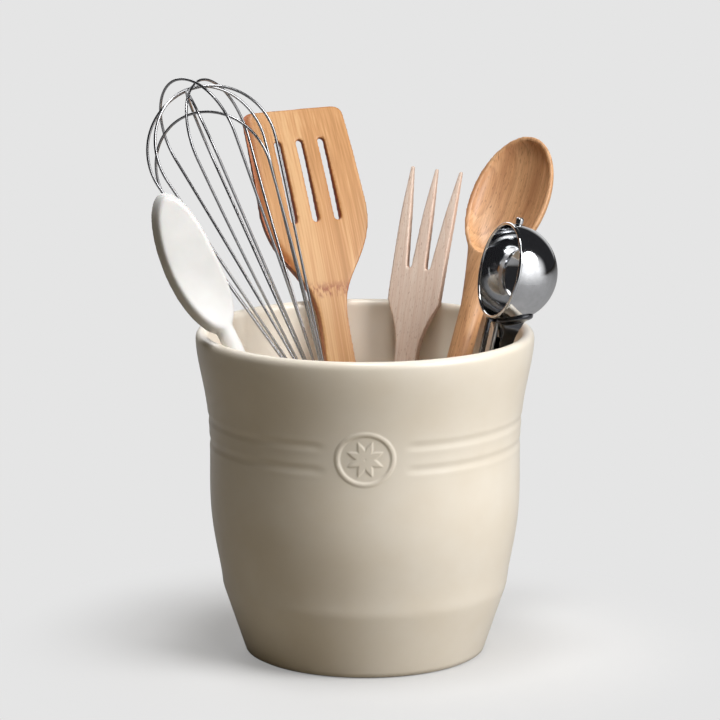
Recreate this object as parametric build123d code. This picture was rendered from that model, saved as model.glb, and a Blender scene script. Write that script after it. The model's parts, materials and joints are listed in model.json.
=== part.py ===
from build123d import *
import os
from math import acos, ceil, cos, degrees, hypot, pi, radians, sin, sqrt, tan

# A glazed stoneware crock with six kitchen utensils standing in it. Millimetres, +Z up.
# The origin is the centre of the crock's flat foot. The medallion faces -Y.
# Each utensil is drawn upright, its end near the origin and its face to -Y, then stood in the crock.

# Crock
crock_height = 159.8
foot_radius = 58.6
foot_edge = 1.4             # rounding where the foot meets the table
shoulder_radius = 69.9      # soft corner above the conical foot band
shoulder_height = 34.0
belly_radius = 75.9
belly_height = 94.0
neck_radius = 78.3
neck_height = 130.0
lip_radius = 82.5           # outermost point of the flared lip
lip_bead = 3.1              # half the thickness of the rounded lip
crock_wall = 5.6
crock_floor = 8.0
floor_corner = 9.0          # inside rounding between wall and floor
groove_width = 3.0
groove_depth = 0.7
groove_heights = (106.0, 117.6)
groove_tail = 1.6           # length of a groove's straight end, in run-outs
groove_gap_angle = 21.0     # the grooves run out to the surface this far to each side of the front
medallion_height = 112.0
medallion_width = 29.5
medallion_rise = 26.8
medallion_bead = 2.2        # width of the raised ring
medallion_relief = 0.8      # how far the ring stands out of the wall
medallion_sink = 0.4        # how far the field inside the ring lies below the wall
medallion_lap = 0.2         # the sunk field runs this far under the ring
petal_count = 8
petal_length = 6.4
petal_width = 2.6
petal_root = 0.9            # petals start this far from the rosette's middle
seat_gap = 0.3              # air between a utensil and what it rests on

# White spoon: foot on the crock's floor, bearing of the place on the rim, turn about its own axis
white_foot = (-6.3, -17.0)
white_bearing = 203.0
white_turn_angle = 50.0
white_length = 238.0
white_handle_width = 10.0
white_handle_depth = 8.0
white_bowl_length = 72.0
white_bowl_width = 36.0
white_bowl_depth = 6.0
white_bowl_wall = 2.0
white_cut_margin = 0.01     # the hollow is cut from this far outside the rim
white_bowl_draft = 2.6      # how much the flat back is smaller than the rim, each side

# Balloon whisk
whisk_foot = (28.6, 5.0)
whisk_bearing = 143.4
whisk_turn_angle = 8.0
whisk_rim_room = 21.7       # the wires stand this far inside the touching position
whisk_handle_length = 101.0
whisk_handle_radius = 6.5
whisk_handle_end_radius = 5.2
whisk_handle_wall = 0.8
whisk_plug_depth = 14.0
whisk_loop_radius = 6.0
whisk_loop_wire = 1.1
wire_radius = 0.6
wire_count = 6
wire_step = 1.5             # each loop stands this much higher than the one it crosses
balloon_radius = 32.6
balloon_flare_angle = 12.3        # angle of the wires' straight stretch, degrees
wire_ring_radius = 4.3      # circle on which the wires enter the plug
wire_straight = 6.0
wire_bend = 132.0

# Slotted turner
turner_foot = (8.3, 14.0)
turner_bearing = 103.9
turner_turn_angle = 20.0
turner_rim_room = 1.8       # the flat handle is wider than the curved lip allows it to touch
turner_length = 266.0
turner_handle_width = 15.4
turner_handle_thickness = 6.4
turner_grip_height = 129.48  # where the handle starts to widen into the neck
turner_neck_height = 166.0
turner_neck_width = 19.0
turner_blade_width = 56.0
turner_blade_height = 210.0  # where the blade reaches its full width
turner_tip_thickness = 2.6
turner_bend_height = 150.0
turner_bend_radius = 450.0
turner_corner = 6.0
turner_blade_taper = 1.2    # each side comes in by this towards the tip
turner_slab_end = 5.0       # the bent slab is drawn this far past the tip
slot_count = 3
slot_width = 3.4
slot_length = 45.0
slot_spacing = 11.6
slot_margin = 17.0          # from the slots' upper ends to the blade's tip

# Serving fork
fork_foot = (5.0, 40.0)
fork_bearing = 69.7
fork_turn_angle = -20.0
fork_rim_room = 3.2
fork_length = 223.0
fork_handle_width = 11.4
fork_thickness = 6.0
fork_tip_thickness = 3.6
fork_shoulder_width = 27.0
fork_shoulder_height = 155.0
fork_neck_height = 128.0
fork_root_height = 172.0
fork_tip_spread = 12.9      # distance between neighbouring tips
fork_tip_width = 2.8
fork_root_gap = 2.4
fork_root_spacing = 9.8
fork_bend_radius = 420.0
fork_slab_end = 1.0         # the bent slab is drawn this far past the tips

# Wooden spoon
spoon_foot = (8.6, -18.0)
spoon_bearing = 40.5
spoon_turn_angle = -36.0
spoon_length = 267.0
spoon_handle_radius = 6.1
spoon_end_radius = 5.2
spoon_bowl_length = 71.0
spoon_bowl_width = 45.0
spoon_bowl_depth = 13.0
spoon_rim = 2.6
spoon_hollow_depth = 9.5
spoon_neck_height = 177.0
spoon_tilt_angle = 8.0            # the bowl leans back by this angle
spoon_bowl_forward = 2.0    # the bowl's rim lies this far in front of the handle's middle
# The neck swells in rings: height above the neck, depth behind the middle, half width, half depth
spoon_neck_rings = ((14.0, 3.0, 11.0, 6.5), (30.0, 5.5, 16.0, 5.2))

# Ice-cream disher
disher_foot = (34.5, -30.0)
disher_bearing = -11.5
disher_turn_angle = -70.0
disher_rim_room = 2.0       # lets the lever close without reaching the lip
bowl_radius = 23.75
bowl_wall = 1.0
bowl_height = 185.0         # centre of the bowl above the handle's end
bowl_mouth = 4.5            # the opening lies this far in front of the spindle
bowl_bead = 0.9
spindle_offset = 5.0        # spindle in front of the handle's middle
spindle_radius = 1.1
spindle_clearance = 0.05
scraper_width = 5.0
scraper_thickness = 0.8
scraper_clearance = 0.35
scraper_start_angle = 5.0         # angle of the scraper behind the right-hand edge of the opening
scraper_sweep_angle = 170.0
nub_radius = 1.9
nub_height = 3.0
nub_grip = 0.6              # share of the nub's height that holds the spindle
frame_width = 9.0
frame_depth = 7.6
frame_wall = 1.2
frame_corner_share = 0.95   # the rounded corner that meets the lip, as a share of a square one
channel_drop = 71.0         # the channel ends this far below the bowl's centre
spine_thickness = 2.6       # between the channel and the bearing plate
spine_overlap = 3.0
plate_setback = 1.0         # the plate and post stop this far short of the pitch circle
bearing_plate_drop = 59.0   # the plate's underside, below the bowl's centre
bearing_plate_thickness = 2.6
post_setback = 1.35         # the post's left side, in from the channel's side
lever_width = 6.0
lever_thickness = 3.6
lever_stand_off = 12.2      # lever in front of the handle's middle, at rest
lever_pivot_height = 9.0
lever_straight = 14.0       # straight stretch above the pivot
lever_knee_drop = 107.0     # the knee in front of the handle, below the bowl's centre
lever_bends = (30.0, 60.0)  # radii where the lever leaves the handle and where it runs beside it again
lever_below_plate = 4.0
lever_arm_gap = 2.0         # the arm to the rack starts this far above the handle's channel
lever_pin_head = 1.0
lever_pin_radius = 1.5
pinion_teeth = 7
tooth_module = 0.8
pressure_angle = 25.0
tooth_addendum = 0.7        # in modules
tooth_dedendum = 0.95       # in modules
tooth_backlash = 0.24
rack_height = 4.0
rack_end = 0.45            # metal beyond the last tooth at each end, in pitches
rack_back = 2.0             # solid metal behind the rack's teeth
pinion_seat = 0.4           # running gap between the pinion and the plate below it
neck_front = 3.2            # how far the neck above the gears reaches in front of the handle's middle
neck_width = 8.4
neck_spread_front = 8.2     # the neck widens to this far in front where it meets the bowl
neck_spread_back = 9.5
neck_spread_drop = 31.0     # the widening starts this far below the bowl's centre
neck_seat_height = 7.125    # the neck and the stay reach this far above the bowl's lowest point
stay_seat_height = 4.75
saddle_thickness = 1.5
saddle_half_width = 9.0
stay_width = 3.6            # flat stay that holds the bowl's front edge
stay_thickness = 2.0
stay_gap = 0.4              # air between the stay and the pinion's teeth

# Worked out from the sizes above
frame_channel_top = bowl_height - channel_drop
lever_knee_height = bowl_height - lever_knee_drop
bearing_plate_bottom = bowl_height - bearing_plate_drop
neck_spread_height = bowl_height - neck_spread_drop
lip_center_radius = lip_radius - lip_bead
lip_center_height = crock_height - lip_bead
pinion_radius = pinion_teeth * tooth_module / 2
rack_bottom = bearing_plate_bottom + bearing_plate_thickness + pinion_seat
rack_middle = rack_bottom + rack_height / 2
rack_arm = rack_middle - lever_pivot_height
lever_sweep = scraper_sweep_angle * pinion_radius / rack_arm
mouth_radius = sqrt(bowl_radius**2 - bowl_mouth**2) - bowl_wall / 2


def sketch_face(*edges):
    return make_face(Curve() + list(edges))


def outer_wall(grow=0.0):
    return Spline(
        (shoulder_radius + grow, shoulder_height),
        (belly_radius + grow, belly_height),
        (neck_radius + grow, neck_height),
        (lip_radius + grow, lip_center_height),
        tangents=[(0.07, 1), (0, 1)],
    )


def inner_wall():
    return Spline(
        (lip_center_radius - lip_bead, lip_center_height),
        (neck_radius - crock_wall, neck_height),
        (belly_radius - crock_wall, belly_height),
        (shoulder_radius - crock_wall, shoulder_height),
        tangents=[(0, -1), (-0.1, -1)],
    )


def wall_radius(height):
    # radius of the crock's outside at one height
    return (outer_wall() & Line((0, height), (2 * lip_radius, height))).center().X


def wall_body(grow):
    # the outside grown by a little, as a full solid from the shoulder to the lip
    wall = outer_wall(grow)
    rest = Polyline(wall @ 1, (0, lip_center_height), (0, shoulder_height), wall @ 0)
    return revolve(Plane.XZ * sketch_face(wall, rest), Axis.Z)


def crock_turned():
    slope = (shoulder_radius - foot_radius) / shoulder_height
    inner_floor_radius = foot_radius - crock_wall + slope * crock_floor
    outer = outer_wall()
    lip = ThreePointArc(
        outer @ 1,
        (lip_center_radius, crock_height),
        (lip_center_radius - lip_bead, lip_center_height),
    )
    inner = inner_wall()
    half = sketch_face(
        Polyline((0, 0), (foot_radius, 0), (shoulder_radius, shoulder_height)),
        outer,
        lip,
        inner,
        Polyline(inner @ 1, (inner_floor_radius, crock_floor), (0, crock_floor), (0, 0)),
    )
    half = fillet(half.vertices().sort_by_distance((foot_radius, 0))[0], foot_edge)
    half = fillet(half.vertices().sort_by_distance((inner_floor_radius, crock_floor))[0], floor_corner)
    return revolve(Plane.XZ * half, Axis.Z)


def groove_cutter(height):
    # a round bar bent to the wall, its two ends straight so that the groove runs out gently
    bar_radius = (groove_width**2 / 4 + groove_depth**2) / (2 * groove_depth)
    ring_radius = wall_radius(height) + bar_radius - groove_depth
    run_out = sqrt(2 * ring_radius * groove_depth) + bar_radius
    start = groove_gap_angle + degrees(run_out / ring_radius) / 2
    profile = Plane.XZ * Pos(ring_radius, height) * Circle(bar_radius)
    ring = Rot(0, 0, -90 + start) * revolve(profile, Axis.Z, revolution_arc=360 - 2 * start)
    for side in (1, -1):
        bearing = radians(-90 + side * start)
        end = Vector(ring_radius * cos(bearing), ring_radius * sin(bearing), height)
        along = Vector(side * sin(bearing), -side * cos(bearing), 0)
        ring += extrude(Plane(end, z_dir=along) * Circle(bar_radius), run_out * groove_tail)
    return ring


def medallion_prism(width, rise):
    # an upright oval bar through the front wall only
    oval = Pos(0, 0, medallion_height) * (Plane.XZ * Ellipse(width / 2, rise / 2))
    return extrude(oval, lip_radius * 1.2)


def crock_body():
    crock = crock_turned()
    for height in groove_heights:
        crock -= groove_cutter(height)
    inside_width = medallion_width - 2 * medallion_bead
    inside_rise = medallion_rise - 2 * medallion_bead
    raised = wall_body(medallion_relief)
    sunk = wall_body(-medallion_sink)
    core = wall_body(-crock_wall / 2)
    ring = medallion_prism(medallion_width, medallion_rise) - medallion_prism(inside_width, inside_rise)
    field = medallion_prism(inside_width + medallion_lap, inside_rise + medallion_lap)
    crock -= field - sunk
    crock += (ring & raised) - core
    petals = Sketch()
    for i in range(petal_count):
        petals += Rot(0, 0, i * 360 / petal_count) * Pos(petal_length / 2 + petal_root, 0) * Ellipse(
            petal_length / 2, petal_width / 2)
    rosette = extrude(Pos(0, 0, medallion_height) * (Plane.XZ * petals), lip_radius * 1.2)
    flower = (rosette & wall_body(medallion_sink / 2)) - core
    crock += flower
    return crock


def placing(foot, bearing, half, turn, room=0.0):
    # the utensil's axis runs from its foot on the crock's floor to a place inside the lip
    foot_point = Vector(foot[0], foot[1], crock_floor)
    lean = 1.0
    for _ in range(3):
        reach = lip_center_radius - (lip_bead + seat_gap + half) / lean - room
        rest = Vector(reach * cos(radians(bearing)), reach * sin(radians(bearing)), lip_center_height)
        axis = (rest - foot_point).normalized()
        lean = axis.Z
    across = Vector(0, 1, 0).cross(axis).normalized()
    return Plane(foot_point, x_dir=across, z_dir=axis) * Rot(0, 0, turn), axis


def stand(pieces, foot, bearing, half, turn, room=0.0):
    # pieces is a dictionary of name to solid; all move together until the lowest clears the floor
    place, axis = placing(foot, bearing, half, turn, room)
    stood = {name: place * piece for name, piece in pieces.items()}
    lowest = min(piece.bounding_box().min.Z for piece in stood.values())
    lift = Pos(*(axis * ((crock_floor + seat_gap - lowest) / axis.Z)))
    return {name: lift * piece for name, piece in stood.items()}, lift * place, axis


def white_spoon():
    middle = white_length - white_bowl_length / 2

    def oval(y, inset):
        at = Plane((0, y, middle), x_dir=(1, 0, 0), z_dir=(0, -1, 0))
        return at * Ellipse(white_bowl_width / 2 - inset, white_bowl_length / 2 - inset)

    back = -white_bowl_depth
    shell = loft([oval(0, 0), oval(back, white_bowl_draft)])
    shell = fillet(shell.faces().sort_by(Axis.Y)[0].edges(), white_bowl_depth * 0.3)
    hollow = loft([
        oval(white_cut_margin, white_bowl_wall),
        oval(back + white_bowl_wall, white_bowl_draft + white_bowl_wall),
    ])
    neck_top = white_length - white_bowl_length + white_bowl_wall * 3
    handle = extrude(Ellipse(white_handle_width / 2, white_handle_depth / 2), neck_top)
    handle = fillet(handle.edges().group_by(Axis.Z)[0], white_handle_depth * 0.25)
    handle = Pos(0, -white_handle_depth / 4, 0) * handle
    return (shell - hollow) + (handle - hollow)


def wire_loop(index):
    # half a turn about the whisk's axis is shared among the loops
    flare = radians(balloon_flare_angle)
    rise = wire_straight + index * wire_step
    start = (wire_ring_radius, 0)
    bend_in = wire_ring_radius + wire_bend * (1 - cos(flare))
    bend_up = rise + wire_bend * sin(flare)
    run = (balloon_radius * cos(flare) - bend_in) / sin(flare)
    side_in = bend_in + run * sin(flare)
    side_up = bend_up + run * cos(flare)
    half = [
        Line(start, (wire_ring_radius, rise)),
        JernArc((wire_ring_radius, rise), (0, 1), wire_bend, -balloon_flare_angle),
        Line((bend_in, bend_up), (side_in, side_up)),
        JernArc((side_in, side_up), (sin(flare), cos(flare)), balloon_radius, 90 + balloon_flare_angle),
    ]
    other = [mirror(edge, Plane.YZ) for edge in half]
    path = Plane.XZ * Wire([e for piece in half + other for e in piece.edges()])
    section = Plane(path @ 0, z_dir=path % 0) * Circle(wire_radius)
    loop = sweep(section, path=path)
    return Pos(0, 0, whisk_handle_length) * Rot(0, 0, 180 * index / wire_count) * loop


def whisk_parts():
    top = whisk_handle_radius
    low = whisk_handle_end_radius
    base = 2 * whisk_loop_radius
    barrel = sketch_face(
        Polyline((0, base), (low, base), (top, whisk_handle_length),
                 (top - whisk_handle_wall, whisk_handle_length),
                 (top - whisk_handle_wall, whisk_handle_length - whisk_plug_depth),
                 (low - whisk_handle_wall, base + whisk_handle_wall),
                 (0, base + whisk_handle_wall), (0, base))
    )
    dome = low * 0.7
    barrel = fillet(barrel.vertices().sort_by_distance((low, base))[0], dome)
    inner_corner = (low - whisk_handle_wall, base + whisk_handle_wall)
    barrel = fillet(barrel.vertices().sort_by_distance(inner_corner)[0], dome - whisk_handle_wall)
    handle = revolve(Plane.XZ * barrel, Axis.Z)
    plug = Pos(0, 0, whisk_handle_length - whisk_plug_depth) * extrude(
        Circle(top - whisk_handle_wall), whisk_plug_depth)
    eye = Pos(0, 0, whisk_loop_radius + whisk_loop_wire) * Rot(90, 0, 0) * Torus(
        whisk_loop_radius, whisk_loop_wire)
    eye = (eye - handle).solids().sort_by(SortBy.VOLUME)[-1]
    parts = {"whisk_handle": handle, "whisk_plug": plug, "whisk_hanging_eye": eye}
    for index in range(wire_count):
        parts[f"whisk_wire_{index + 1}"] = wire_loop(index)
    return parts


def slotted_turner():
    half_handle = turner_handle_width / 2
    half_blade = turner_blade_width / 2
    half_tip = half_blade - turner_blade_taper
    corner = turner_corner
    right = [
        Line((half_handle, half_handle), (half_handle, turner_grip_height)),
        Spline((half_handle, turner_grip_height), (turner_neck_width / 2, turner_neck_height),
               (half_blade, turner_blade_height), tangents=[(0, 1), (0.05, 1)]),
        Line((half_blade, turner_blade_height), (half_tip, turner_length - corner)),
        Spline((half_tip, turner_length - corner), (half_tip - corner, turner_length),
               tangents=[(0, 1), (-1, 0.05)]),
    ]
    left = [mirror(edge, Plane.YZ) for edge in right]
    outline = sketch_face(
        *right, *left,
        Line((half_tip - corner, turner_length), (corner - half_tip, turner_length)),
        ThreePointArc((-half_handle, half_handle), (0, 0), (half_handle, half_handle)),
    )
    slots = Sketch()
    for i in range(slot_count):
        across = (i - (slot_count - 1) / 2) * slot_spacing
        slots += Pos(across, turner_length - slot_margin - slot_length / 2) * SlotOverall(
            slot_length, slot_width, 90)
    blank = extrude(Plane.XZ * (outline - slots), turner_blade_width, both=True)
    return blank & bent_slab(turner_handle_thickness, turner_tip_thickness, turner_bend_height,
                             turner_length + turner_slab_end, turner_bend_radius, 2 * half_blade)


def bent_slab(thick, tip, bend, top, radius, width):
    # side view of a blade that leans back on a large arc and thins towards its tip
    back = (top - bend)**2 / (2 * radius)
    side = sketch_face(
        Line((-thick / 2, 0), (-thick / 2, bend)),
        TangentArc((-thick / 2, bend), (back - tip / 2, top), tangent=(0, 1)),
        Line((back - tip / 2, top), (back + tip / 2, top)),
        TangentArc((thick / 2, bend), (back + tip / 2, top), tangent=(0, 1)),
        Line((thick / 2, bend), (thick / 2, 0)),
        Line((thick / 2, 0), (-thick / 2, 0)),
    )
    return extrude(Plane.YZ * side, width, both=True)


def serving_fork():
    half_handle = fork_handle_width / 2
    half_shoulder = fork_shoulder_width / 2
    outer_tip = fork_tip_spread + fork_tip_width / 2
    right = [
        Line((half_handle, half_handle), (half_handle, fork_neck_height)),
        Spline((half_handle, fork_neck_height), (half_shoulder, fork_shoulder_height),
               tangents=[(0, 1), (0.45, 1)]),
        Line((half_shoulder, fork_shoulder_height), (outer_tip, fork_length)),
    ]
    left = [mirror(edge, Plane.YZ) for edge in right]
    outline = sketch_face(
        *right, *left,
        Line((outer_tip, fork_length), (-outer_tip, fork_length)),
        ThreePointArc((-half_handle, half_handle), (0, 0), (half_handle, half_handle)),
    )
    gaps = Sketch()
    for side in (-1, 1):
        root = fork_root_spacing / 2
        near_tip = fork_tip_width / 2
        far_tip = fork_tip_spread - fork_tip_width / 2
        gaps += make_face(Polyline(
            (side * (root - fork_root_gap / 2), fork_root_height),
            (side * (root + fork_root_gap / 2), fork_root_height),
            (side * far_tip, fork_length + fork_slab_end),
            (side * near_tip, fork_length + fork_slab_end),
            (side * (root - fork_root_gap / 2), fork_root_height),
        ))
    blank = extrude(Plane.XZ * (outline - gaps), 2 * fork_shoulder_width, both=True)
    return blank & bent_slab(fork_thickness, fork_tip_thickness, fork_neck_height,
                             fork_length + fork_slab_end, fork_bend_radius, fork_shoulder_width)


def wooden_spoon():
    middle = spoon_length - spoon_bowl_length / 2
    neck_ring = spoon_neck_height - spoon_handle_radius
    handle = revolve(Plane.XZ * sketch_face(
        Polyline((0, 0), (spoon_end_radius, 0), (spoon_handle_radius, neck_ring), (0, neck_ring), (0, 0))
    ), Axis.Z)
    handle = fillet(handle.edges().sort_by(Axis.Z)[0], spoon_end_radius * 0.8)

    def egg(width, depth, length):
        return Pos(0, 0, middle) * scale(Sphere(1), by=(width / 2, depth, length / 2))

    shell = egg(spoon_bowl_width, spoon_bowl_depth, spoon_bowl_length)
    shell &= Pos(0, spoon_length / 2, middle) * Box(spoon_length, spoon_length, spoon_length)
    hollow = egg(spoon_bowl_width - 2 * spoon_rim, spoon_hollow_depth, spoon_bowl_length - 2 * spoon_rim)
    neck = loft([
        Plane((0, 0, neck_ring)) * Circle(spoon_handle_radius),
        *[Plane((0, back, spoon_neck_height + up)) * Ellipse(half_width, half_depth)
          for up, back, half_width, half_depth in spoon_neck_rings],
    ])
    at = Pos(0, 0, spoon_neck_height) * Rot(-spoon_tilt_angle, 0, 0)
    at *= Pos(0, -spoon_bowl_forward, -spoon_neck_height)
    return handle + (neck - at * hollow) + at * (shell - hollow)


def disher_at_bowl(piece):
    return Pos(0, -spindle_offset, bowl_height) * piece


def bowl_side(y):
    # a block round the bowl that lies wholly at or behind one depth
    side = 4 * bowl_radius
    return Pos(0, y + side / 2, bowl_height) * Box(side, side, side)


def disher_bowl():
    mouth = -spindle_offset - bowl_mouth
    shell = disher_at_bowl(Sphere(bowl_radius) - Sphere(bowl_radius - bowl_wall))
    shell &= bowl_side(mouth)
    bead = Pos(0, mouth, bowl_height) * Rot(90, 0, 0) * Torus(mouth_radius, bowl_bead)
    hole = disher_at_bowl(Cylinder(spindle_radius + spindle_clearance, 3 * bowl_radius))
    return shell + bead - hole


def disher_scraper():
    outer = bowl_radius - bowl_wall - scraper_clearance
    ring = Sphere(outer) - Sphere(outer - scraper_thickness)
    strip = ring & (Pos(outer, 0, 0) * Box(2 * outer, scraper_width, 3 * outer))
    reach = bowl_radius + nub_height * nub_grip
    upper = Pos(0, 0, (reach + outer) / 2 - scraper_thickness / 2) * Cylinder(
        spindle_radius, reach - outer + scraper_thickness)
    foot = bowl_height - bearing_plate_bottom
    lower = Pos(0, 0, -(foot + outer) / 2 + scraper_thickness / 2) * Cylinder(
        spindle_radius, foot - outer + scraper_thickness)
    return disher_at_bowl(Rot(0, 0, scraper_start_angle) * (strip + upper + lower))


def disher_nub():
    nub = Cylinder(nub_radius, nub_height)
    nub = fillet(nub.edges().group_by(Axis.Z)[-1], nub_radius * 0.6)
    base = bowl_height + bowl_radius + seat_gap / 2
    bore_depth = nub_height * nub_grip - seat_gap / 2
    nub -= Pos(0, 0, -nub_height / 2) * Cylinder(spindle_radius, 2 * bore_depth)
    return Pos(0, -spindle_offset, base + nub_height / 2) * nub


def involute(angle):
    return tan(angle) - angle


def disher_pinion():
    pressure = radians(pressure_angle)
    base = pinion_radius * cos(pressure)
    tip = pinion_radius + tooth_addendum * tooth_module
    root = pinion_radius - tooth_dedendum * tooth_module
    half_pitch = (pi * tooth_module - tooth_backlash) / 4 / pinion_radius
    flank = []
    for step in range(4):
        radius = base + (tip - base) * step / 3
        turn = half_pitch + involute(pressure) - involute(acos(base / radius))
        flank.append((radius * cos(turn), radius * sin(turn)))
    lower = [(x, -y) for x, y in flank]
    inner = (root * 0.7, flank[0][1] * root * 0.7 / flank[0][0])
    tooth = sketch_face(
        Spline(flank), Line(flank[-1], lower[-1]), Spline(lower),
        Polyline(lower[0], (inner[0], -inner[1]), inner, flank[0]),
    )
    wheel = Sketch() + Circle(root)
    for i in range(pinion_teeth):
        # a gap between two teeth faces the rack, on +X, at rest
        wheel += Rot(0, 0, 360 * (i + 0.5) / pinion_teeth) * tooth
    wheel -= Circle(spindle_radius)
    return Pos(0, -spindle_offset, rack_bottom) * extrude(wheel, rack_height)


def rack_teeth():
    # teeth on an arc about the lever's pivot; each stands radially and points at the pinion
    pressure = radians(pressure_angle)
    tooth_angle = degrees(pi * tooth_module / rack_arm)
    half_pitch = (pi * tooth_module - tooth_backlash) / 4
    addendum, dedendum = tooth_addendum * tooth_module, tooth_dedendum * tooth_module
    tooth = make_face(Polyline(
        (-dedendum - 0.2, half_pitch + dedendum * tan(pressure)),
        (-dedendum, half_pitch + dedendum * tan(pressure)),
        (addendum, half_pitch - addendum * tan(pressure)),
        (addendum, addendum * tan(pressure) - half_pitch),
        (-dedendum, -half_pitch - dedendum * tan(pressure)),
        (-dedendum - 0.2, -half_pitch - dedendum * tan(pressure)),
        (-dedendum - 0.2, half_pitch + dedendum * tan(pressure)),
    ))
    last = ceil(lever_sweep / tooth_angle)
    arm = Pos(pinion_radius, 0, rack_arm - rack_height / 2) * Rot(0, 0, 180)
    length = (last + 2 * rack_end) * pi * tooth_module
    middle = tooth_angle * last / 2
    back = Pos(pinion_radius + dedendum + rack_back / 2, 0, 0) * Rot(middle, 0, 0) * (
        Pos(0, 0, rack_arm) * Box(rack_back, length, rack_height))
    teeth = Part()
    for i in range(last + 1):
        teeth += Rot(i * tooth_angle, 0, 0) * arm * extrude(tooth, rack_height)
    return Pos(0, -spindle_offset, lever_pivot_height) * (teeth + back)


def disher_neck():
    # the handle above the gears: a channel, open in front, that spreads into a saddle under the bowl
    low = rack_bottom + rack_height + pinion_seat
    back = frame_depth / 2
    top = bowl_height - bowl_radius + neck_seat_height
    side = sketch_face(
        Line((-neck_front, low), (-neck_front, neck_spread_height)),
        TangentArc((-neck_front, neck_spread_height), (-neck_spread_front, bowl_height - bowl_radius),
                   tangent=(0, 1)),
        Line((-neck_spread_front, bowl_height - bowl_radius), (-neck_spread_front, top)),
        Line((-neck_spread_front, top), (neck_spread_back, top)),
        TangentArc((back, neck_spread_height), (neck_spread_back, top), tangent=(0, 1)),
        Polyline((back, neck_spread_height), (back, low), (-neck_front, low)),
    )
    neck = extrude(Plane.YZ * side, neck_width / 2, both=True)
    channel_high = neck_spread_height - frame_wall
    neck -= Pos(0, -frame_wall - bowl_radius / 2 + back, (low + channel_high) / 2) * Box(
        neck_width - 2 * frame_wall, bowl_radius, channel_high - low)
    saddle = Sphere(bowl_radius + saddle_thickness) & (
        Pos(0, spindle_offset + (neck_spread_back - neck_spread_front) / 2, -bowl_radius) * Cylinder(
            saddle_half_width, bowl_radius))
    return (neck + disher_at_bowl(saddle)) - disher_at_bowl(Sphere(bowl_radius))


def disher_stay():
    # a flat stay from the bearing plate up to the rolled edge of the bowl
    pinion_front = spindle_offset + pinion_radius + tooth_addendum * tooth_module
    front = -pinion_front - stay_gap - stay_thickness
    low = bearing_plate_bottom + bearing_plate_thickness
    top = bowl_height - bowl_radius + stay_seat_height
    strap = Pos(0, front + stay_thickness / 2, (low + top) / 2) * Box(
        stay_width, stay_thickness, top - low)
    edge = Torus(mouth_radius, bowl_bead)
    mouth = Pos(0, -spindle_offset - bowl_mouth, bowl_height) * Rot(90, 0, 0) * (
        edge + Cylinder(mouth_radius, 2 * bowl_bead))
    return (strap - mouth - disher_at_bowl(Sphere(bowl_radius))).solids().sort_by(Axis.Z)[0], front


def disher_frame():
    half = frame_width / 2
    top = bearing_plate_bottom
    channel = Pos(0, 0, frame_channel_top / 2) * Box(frame_width, frame_depth, frame_channel_top)
    channel = fillet(channel.edges().filter_by(Axis.Z).group_by(Axis.Y)[-1], frame_wall * 1.6)
    inside = Pos(0, -frame_wall, frame_channel_top / 2) * Box(
        frame_width - 2 * frame_wall, frame_depth, 2 * frame_channel_top)
    channel -= inside
    ear_front = -spindle_offset - frame_depth / 3
    ears = Part()
    for side in (-1, 1):
        x = side * (half - frame_wall / 2)
        ears += Pos(x, (ear_front + frame_depth / 2) / 2, lever_pivot_height) * Box(
            frame_wall, frame_depth / 2 - ear_front, frame_depth * 0.8)
    spine_low = frame_channel_top - spine_overlap
    spine = Pos(0, (frame_depth - spine_thickness) / 2, (spine_low + top) / 2) * Box(
        frame_width - 2 * frame_wall, spine_thickness, top - spine_low)
    stay, stay_front = disher_stay()
    plate_right = pinion_radius - plate_setback
    post_low = top + bearing_plate_thickness
    plate = Pos((plate_right - half) / 2, (stay_front + frame_depth / 2) / 2, (top + post_low) / 2)
    plate *= Box(half + plate_right, frame_depth / 2 - stay_front, bearing_plate_thickness)
    post_top = rack_bottom + rack_height + pinion_seat
    post_left = post_setback - half
    post_middle = (frame_depth - spine_thickness) / 2
    post = Pos((post_left + plate_right) / 2, post_middle, (post_low + post_top) / 2)
    post *= Box(plate_right - post_left, spine_thickness, post_top - post_low)
    frame = channel + ears + spine + plate + post + disher_neck() + stay
    frame -= Pos(0, -spindle_offset, bowl_height - bowl_radius) * Cylinder(
        spindle_radius + spindle_clearance, 2 * (bowl_height - bowl_radius - top))
    frame -= Pos(0, -spindle_offset, lever_pivot_height) * Rot(0, 90, 0) * Cylinder(
        lever_pin_radius, 2 * frame_width)
    return frame


def disher_lever():
    pivot = (-spindle_offset, lever_pivot_height)
    front = -lever_stand_off
    strip_top = bearing_plate_bottom - lever_below_plate
    rack_side = pinion_radius + tooth_dedendum * tooth_module + rack_back
    path = FilletPolyline(
        (-spindle_offset, lever_pivot_height), (-spindle_offset, lever_pivot_height + lever_straight),
        (front, lever_knee_height), (front, strip_top), radius=lever_bends)
    path = Plane.YZ * path
    strip = sweep(Plane(path @ 0, x_dir=(1, 0, 0), z_dir=path % 0) * Rectangle(
        lever_width, lever_thickness), path=path)
    boss = Pos(0, *pivot) * Rot(0, 90, 0) * Cylinder(lever_thickness, lever_width)
    arm_low = frame_channel_top + lever_arm_gap
    arm_high = rack_bottom + rack_height
    arm_width = rack_back * 0.9
    arm = Pos(rack_side - arm_width / 2, front, (arm_low + arm_high) / 2) * Box(
        arm_width, lever_thickness, arm_high - arm_low)
    root_width = rack_side - lever_width / 3
    arm += Pos(rack_side - root_width / 2, front, (arm_low + strip_top) / 2) * Box(
        root_width, lever_thickness, strip_top - arm_low)
    lever = strip + boss + arm + rack_teeth()
    lever -= Pos(0, *pivot) * Rot(0, 90, 0) * Cylinder(
        lever_pin_radius + spindle_clearance, 2 * lever_width)
    return lever


def disher_lever_pin():
    body = Cylinder(lever_pin_radius, frame_width)
    for side in (-1, 1):
        body += Pos(0, 0, side * (frame_width + lever_pin_head) / 2) * Cylinder(
            lever_pin_radius * 1.7, lever_pin_head)
    return Pos(0, -spindle_offset, lever_pivot_height) * Rot(0, 90, 0) * body


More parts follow.
